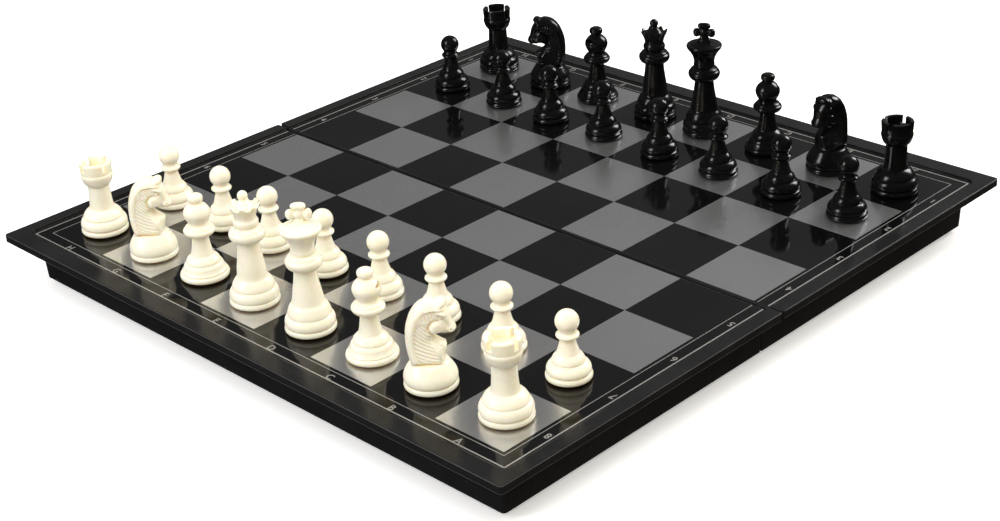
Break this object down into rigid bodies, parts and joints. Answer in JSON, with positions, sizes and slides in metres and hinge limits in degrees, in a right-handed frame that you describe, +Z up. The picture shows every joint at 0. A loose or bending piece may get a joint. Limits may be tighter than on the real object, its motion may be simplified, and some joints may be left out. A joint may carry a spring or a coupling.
{
  "type": "folding magnetic chess set",
  "caption": "Folding travel chess board with two hinged half trays, a sliding latch and magnetic Staunton pieces set out on the squares.",
  "frame": {"origin": "on the table plane, in the middle of the open board (the middle of the fold)", "axes": "+X along the fold towards file A, +Y across the fold from the white army's half to the black army's half, +Z up off the table"},
  "size_m": [0.3118, 0.3192, 0.0792],
  "materials": {
    "board_plastic": "semi-gloss moulded black plastic with fine rub marks",
    "playing_sheet": "gloss black printed sheet",
    "silver_foil": "satin silver-grey squares under a clear gloss coat",
    "steel_sheet": "plain steel",
    "steel_pin": "bright steel",
    "rubber": "matte black rubber",
    "ivory_plastic": "satin off-white moulded plastic",
    "black_plastic": "gloss black moulded plastic"
  },
  "bodies": {
    "white_half": {"white_half_shell": "board_plastic", "white_half_steel_sheet": "steel_sheet", "white_half_playing_sheet": "playing_sheet", "white_half_silver_squares": "silver_foil", "white_half_feet": "rubber", "hinge_pins": "steel_pin"},
    "black_half": {"black_half_shell": "board_plastic", "black_half_steel_sheet": "steel_sheet", "black_half_playing_sheet": "playing_sheet", "black_half_silver_squares": "silver_foil", "black_half_feet": "rubber", "latch_retainer": "board_plastic", "latch_screws": "steel_pin"},
    "latch": {"latch_slider": "board_plastic"},
    "white_rook_a": {"white_rook_a": "ivory_plastic"},
    "white_knight_b": {"white_knight_b": "ivory_plastic"},
    "white_bishop_c": {"white_bishop_c": "ivory_plastic"},
    "white_king": {"white_king": "ivory_plastic"},
    "white_queen": {"white_queen": "ivory_plastic"},
    "white_bishop_f": {"white_bishop_f": "ivory_plastic"},
    "white_knight_g": {"white_knight_g": "ivory_plastic"},
    "white_rook_h": {"white_rook_h": "ivory_plastic"},
    "white_pawn_a": {"white_pawn_a": "ivory_plastic"},
    "white_pawn_b": {"white_pawn_b": "ivory_plastic"},
    "white_pawn_c": {"white_pawn_c": "ivory_plastic"},
    "white_pawn_d": {"white_pawn_d": "ivory_plastic"},
    "white_pawn_e": {"white_pawn_e": "ivory_plastic"},
    "white_pawn_f": {"white_pawn_f": "ivory_plastic"},
    "white_pawn_g": {"white_pawn_g": "ivory_plastic"},
    "white_pawn_h": {"white_pawn_h": "ivory_plastic"},
    "black_rook_a": {"black_rook_a": "black_plastic"},
    "black_knight_b": {"black_knight_b": "black_plastic"},
    "black_bishop_c": {"black_bishop_c": "black_plastic"},
    "black_king": {"black_king": "black_plastic"},
    "black_queen": {"black_queen": "black_plastic"},
    "black_bishop_f": {"black_bishop_f": "black_plastic"},
    "black_knight_g": {"black_knight_g": "black_plastic"},
    "black_rook_h": {"black_rook_h": "black_plastic"},
    "black_pawn_a": {"black_pawn_a": "black_plastic"},
    "black_pawn_b": {"black_pawn_b": "black_plastic"},
    "black_pawn_c": {"black_pawn_c": "black_plastic"},
    "black_pawn_d": {"black_pawn_d": "black_plastic"},
    "black_pawn_e": {"black_pawn_e": "black_plastic"},
    "black_pawn_f": {"black_pawn_f": "black_plastic"},
    "black_pawn_g": {"black_pawn_g": "black_plastic"},
    "black_pawn_h": {"black_pawn_h": "black_plastic"}
  },
  "joints": [
    {"name": "board_fold", "type": "hinge", "parent": "white_half", "child": "black_half", "pos_m": [0, 0, 0.0024], "axis": [-1, 0, 0], "range_deg": [0, 180]},
    {"name": "latch_slide", "type": "slide", "parent": "black_half", "child": "latch", "axis": [1, 0, 0], "range_m": [0, 0.004]},
    {"name": "lift_white_rook_a", "type": "slide", "parent": "white_half", "child": "white_rook_a", "axis": [0, 0, 1], "range_m": [0, 0.06]},
    {"name": "lift_white_knight_b", "type": "slide", "parent": "white_half", "child": "white_knight_b", "axis": [0, 0, 1], "range_m": [0, 0.06]},
    {"name": "lift_white_bishop_c", "type": "slide", "parent": "white_half", "child": "white_bishop_c", "axis": [0, 0, 1], "range_m": [0, 0.06]},
    {"name": "lift_white_king", "type": "slide", "parent": "white_half", "child": "white_king", "axis": [0, 0, 1], "range_m": [0, 0.06]},
    {"name": "lift_white_queen", "type": "slide", "parent": "white_half", "child": "white_queen", "axis": [0, 0, 1], "range_m": [0, 0.06]},
    {"name": "lift_white_bishop_f", "type": "slide", "parent": "white_half", "child": "white_bishop_f", "axis": [0, 0, 1], "range_m": [0, 0.06]},
    {"name": "lift_white_knight_g", "type": "slide", "parent": "white_half", "child": "white_knight_g", "axis": [0, 0, 1], "range_m": [0, 0.06]},
    {"name": "lift_white_rook_h", "type": "slide", "parent": "white_half", "child": "white_rook_h", "axis": [0, 0, 1], "range_m": [0, 0.06]},
    {"name": "lift_white_pawn_a", "type": "slide", "parent": "white_half", "child": "white_pawn_a", "axis": [0, 0, 1], "range_m": [0, 0.06]},
    {"name": "lift_white_pawn_b", "type": "slide", "parent": "white_half", "child": "white_pawn_b", "axis": [0, 0, 1], "range_m": [0, 0.06]},
    {"name": "lift_white_pawn_c", "type": "slide", "parent": "white_half", "child": "white_pawn_c", "axis": [0, 0, 1], "range_m": [0, 0.06]},
    {"name": "lift_white_pawn_d", "type": "slide", "parent": "white_half", "child": "white_pawn_d", "axis": [0, 0, 1], "range_m": [0, 0.06]},
    {"name": "lift_white_pawn_e", "type": "slide", "parent": "white_half", "child": "white_pawn_e", "axis": [0, 0, 1], "range_m": [0, 0.06]},
    {"name": "lift_white_pawn_f", "type": "slide", "parent": "white_half", "child": "white_pawn_f", "axis": [0, 0, 1], "range_m": [0, 0.06]},
    {"name": "lift_white_pawn_g", "type": "slide", "parent": "white_half", "child": "white_pawn_g", "axis": [0, 0, 1], "range_m": [0, 0.06]},
    {"name": "lift_white_pawn_h", "type": "slide", "parent": "white_half", "child": "white_pawn_h", "axis": [0, 0, 1], "range_m": [0, 0.06]},
    {"name": "lift_black_rook_a", "type": "slide", "parent": "black_half", "child": "black_rook_a", "axis": [0, 0, 1], "range_m": [0, 0.06]},
    {"name": "lift_black_knight_b", "type": "slide", "parent": "black_half", "child": "black_knight_b", "axis": [0, 0, 1], "range_m": [0, 0.06]},
    {"name": "lift_black_bishop_c", "type": "slide", "parent": "black_half", "child": "black_bishop_c", "axis": [0, 0, 1], "range_m": [0, 0.06]},
    {"name": "lift_black_king", "type": "slide", "parent": "black_half", "child": "black_king", "axis": [0, 0, 1], "range_m": [0, 0.06]},
    {"name": "lift_black_queen", "type": "slide", "parent": "black_half", "child": "black_queen", "axis": [0, 0, 1], "range_m": [0, 0.06]},
    {"name": "lift_black_bishop_f", "type": "slide", "parent": "black_half", "child": "black_bishop_f", "axis": [0, 0, 1], "range_m": [0, 0.06]},
    {"name": "lift_black_knight_g", "type": "slide", "parent": "black_half", "child": "black_knight_g", "axis": [0, 0, 1], "range_m": [0, 0.06]},
    {"name": "lift_black_rook_h", "type": "slide", "parent": "black_half", "child": "black_rook_h", "axis": [0, 0, 1], "range_m": [0, 0.06]},
    {"name": "lift_black_pawn_a", "type": "slide", "parent": "black_half", "child": "black_pawn_a", "axis": [0, 0, 1], "range_m": [0, 0.06]},
    {"name": "lift_black_pawn_b", "type": "slide", "parent": "black_half", "child": "black_pawn_b", "axis": [0, 0, 1], "range_m": [0, 0.06]},
    {"name": "lift_black_pawn_c", "type": "slide", "parent": "black_half", "child": "black_pawn_c", "axis": [0, 0, 1], "range_m": [0, 0.06]},
    {"name": "lift_black_pawn_d", "type": "slide", "parent": "black_half", "child": "black_pawn_d", "axis": [0, 0, 1], "range_m": [0, 0.06]},
    {"name": "lift_black_pawn_e", "type": "slide", "parent": "black_half", "child": "black_pawn_e", "axis": [0, 0, 1], "range_m": [0, 0.06]},
    {"name": "lift_black_pawn_f", "type": "slide", "parent": "black_half", "child": "black_pawn_f", "axis": [0, 0, 1], "range_m": [0, 0.06]},
    {"name": "lift_black_pawn_g", "type": "slide", "parent": "black_half", "child": "black_pawn_g", "axis": [0, 0, 1], "range_m": [0, 0.06]},
    {"name": "lift_black_pawn_h", "type": "slide", "parent": "black_half", "child": "black_pawn_h", "axis": [0, 0, 1], "range_m": [0, 0.06]}
  ]
}
